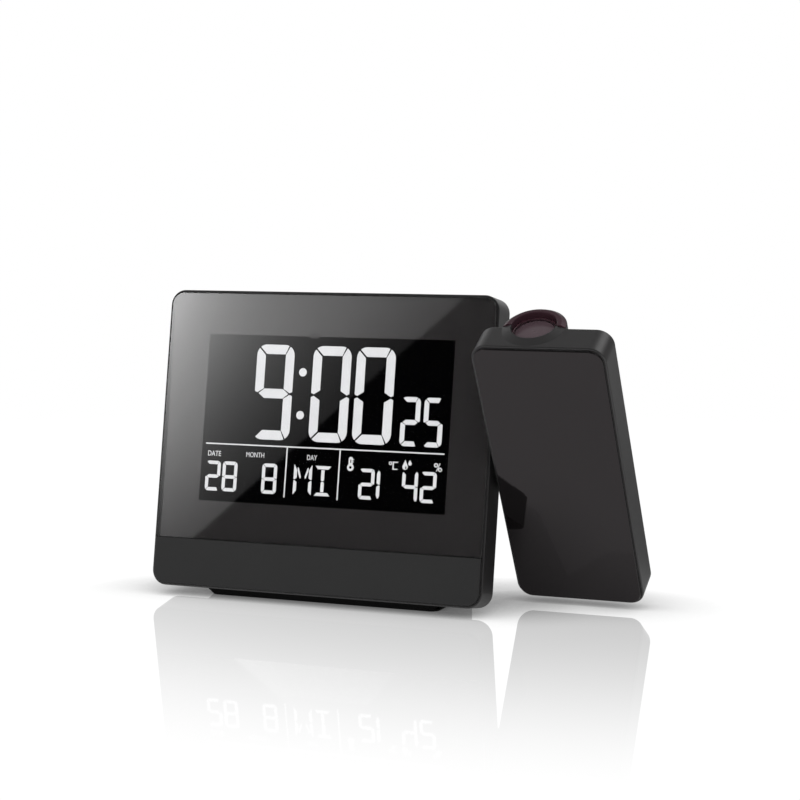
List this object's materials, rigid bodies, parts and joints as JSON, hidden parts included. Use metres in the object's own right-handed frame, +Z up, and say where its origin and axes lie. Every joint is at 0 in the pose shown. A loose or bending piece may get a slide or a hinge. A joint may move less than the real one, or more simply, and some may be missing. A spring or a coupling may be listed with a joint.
{
  "type": "projection alarm clock",
  "caption": "Desk alarm clock with a leaning display panel on a rear stand and a slab-shaped projector arm hinged to its right side, with a round lens at the top of the arm.",
  "frame": {"origin": "centre of the underside of the rubber foot pad, on the surface the clock stands on", "axes": "+X to the right as seen from the front, towards the projector arm; +Y to the back; +Z up. The display faces -Y."},
  "size_m": [0.1753, 0.0639, 0.1104],
  "materials": {
    "window_acrylic": "polished smoked acrylic",
    "black_film": "printed black border",
    "satin_black": "satin",
    "case_black": "fine spark-eroded texture",
    "gloss_black": "polished",
    "bezel_black": "semi-gloss",
    "button_black": "satin",
    "foot_rubber": "matt",
    "display_glass": "negative display glass",
    "light_guide": "frosted",
    "white_frame": "moulded",
    "white_acetal": "moulded",
    "silicone": "matt",
    "circuit_board": "solder mask",
    "component_black": "moulded",
    "cell_jacket": "plain sleeve",
    "plated_spring": "nickel plated",
    "screw_steel": "plated",
    "screw_black": "black zinc",
    "shaft_steel": "turned",
    "ferrite": "sintered",
    "copper_wire": "enamelled",
    "cable_jacket": "matt",
    "focus_plastic": "semi-gloss",
    "lens_red": "tinted optical",
    "clear_lens": "optical",
    "sink_aluminium": "milled"
  },
  "bodies": {
    "clock": {"aaa_cells": "cell_jacket", "base_pad": "foot_rubber", "battery_contacts": "plated_spring", "board_components": "component_black", "board_screws": "screw_steel", "buzzer": "component_black", "case_screws": "screw_black", "climate_sensor": "white_frame", "clock_cable": "cable_jacket", "dc_inlet_socket": "component_black", "front_band": "satin_black", "front_housing": "case_black", "front_window": "window_acrylic", "hinge_bush": "white_acetal", "hinge_spring_washer": "plated_spring", "lcd_connector_strip": "silicone", "lcd_holder": "white_frame", "lcd_light_guide": "light_guide", "lcd_panel": "display_glass", "main_board": "circuit_board", "power_board": "circuit_board", "rear_cover": "case_black", "receiver_board": "circuit_board", "receiver_coil": "copper_wire", "receiver_ferrite_rod": "ferrite", "stand_screws": "screw_steel", "stand_shell": "case_black", "switch_body": "component_black", "tact_switches": "component_black", "usb_charge_socket": "plated_spring", "window_mask": "black_film"},
    "projector": {"projector_front_plate": "gloss_black", "projector_housing": "case_black", "projector_back_cover": "case_black", "hinge_shaft": "shaft_steel", "hinge_clip": "plated_spring", "projector_cable": "cable_jacket", "lens_bezel": "bezel_black", "light_tube": "component_black", "condenser_lens": "clear_lens", "image_lcd": "display_glass", "projector_led": "lens_red", "projector_board": "circuit_board", "heat_sink": "sink_aluminium", "projector_screws": "screw_black"},
    "snooze_button": {"snooze_button": "button_black"},
    "projection_switch": {"projection_switch": "button_black"},
    "battery_door": {"battery_door": "case_black"},
    "focus_ring": {"focus_ring": "focus_plastic"},
    "lens_barrel": {"lens_barrel": "component_black", "projection_lens": "lens_red"},
    "mode_button": {"mode_button": "button_black"},
    "alarm_button": {"alarm_button": "button_black"},
    "down_button": {"down_button": "button_black"},
    "up_button": {"up_button": "button_black"},
    "flip_button": {"flip_button": "button_black"}
  },
  "joints": [
    {"name": "projector_tilt", "type": "hinge", "parent": "clock", "child": "projector", "pos_m": [0.0645, -0.00447, 0.05506], "axis": [1, 0, 0], "range_deg": [-129.87, 50.13]},
    {"name": "focus_turn", "type": "hinge", "parent": "projector", "child": "focus_ring", "pos_m": [0.0844, -0.03081, 0.09798], "axis": [0, -0.502, 0.8649], "range_deg": [-60, 60]},
    {"name": "lens_travel", "type": "slide", "parent": "projector", "child": "lens_barrel", "axis": [0, -0.502, 0.8649], "range_m": [-0.00125, 0.00125]},
    {"name": "snooze_press", "type": "slide", "parent": "clock", "child": "snooze_button", "axis": [0, -0.1692, -0.9856], "range_m": [0, 0.00045], "stiffness_N_per_m": 900},
    {"name": "projection_slide", "type": "slide", "parent": "clock", "child": "projection_switch", "axis": [1, 0, 0], "range_m": [0, 0.004]},
    {"name": "battery_door_lift", "type": "slide", "parent": "clock", "child": "battery_door", "axis": [0, 0.9154, 0.4025], "range_m": [0, 0.03]},
    {"name": "mode_press", "type": "slide", "parent": "clock", "child": "mode_button", "axis": [0, -0.9856, 0.1692], "range_m": [0, 0.0004], "stiffness_N_per_m": 350},
    {"name": "alarm_press", "type": "slide", "parent": "clock", "child": "alarm_button", "axis": [0, -0.9856, 0.1692], "range_m": [0, 0.0004], "stiffness_N_per_m": 350},
    {"name": "down_press", "type": "slide", "parent": "clock", "child": "down_button", "axis": [0, -0.9856, 0.1692], "range_m": [0, 0.0004], "stiffness_N_per_m": 350},
    {"name": "up_press", "type": "slide", "parent": "clock", "child": "up_button", "axis": [0, -0.9856, 0.1692], "range_m": [0, 0.0004], "stiffness_N_per_m": 350},
    {"name": "flip_press", "type": "slide", "parent": "clock", "child": "flip_button", "axis": [0, -0.9856, 0.1692], "range_m": [0, 0.0004], "stiffness_N_per_m": 350}
  ],
  "couplings": [
    {"joint": "focus_turn", "follows": "lens_travel", "rad_per_m": 833.33}
  ]
}
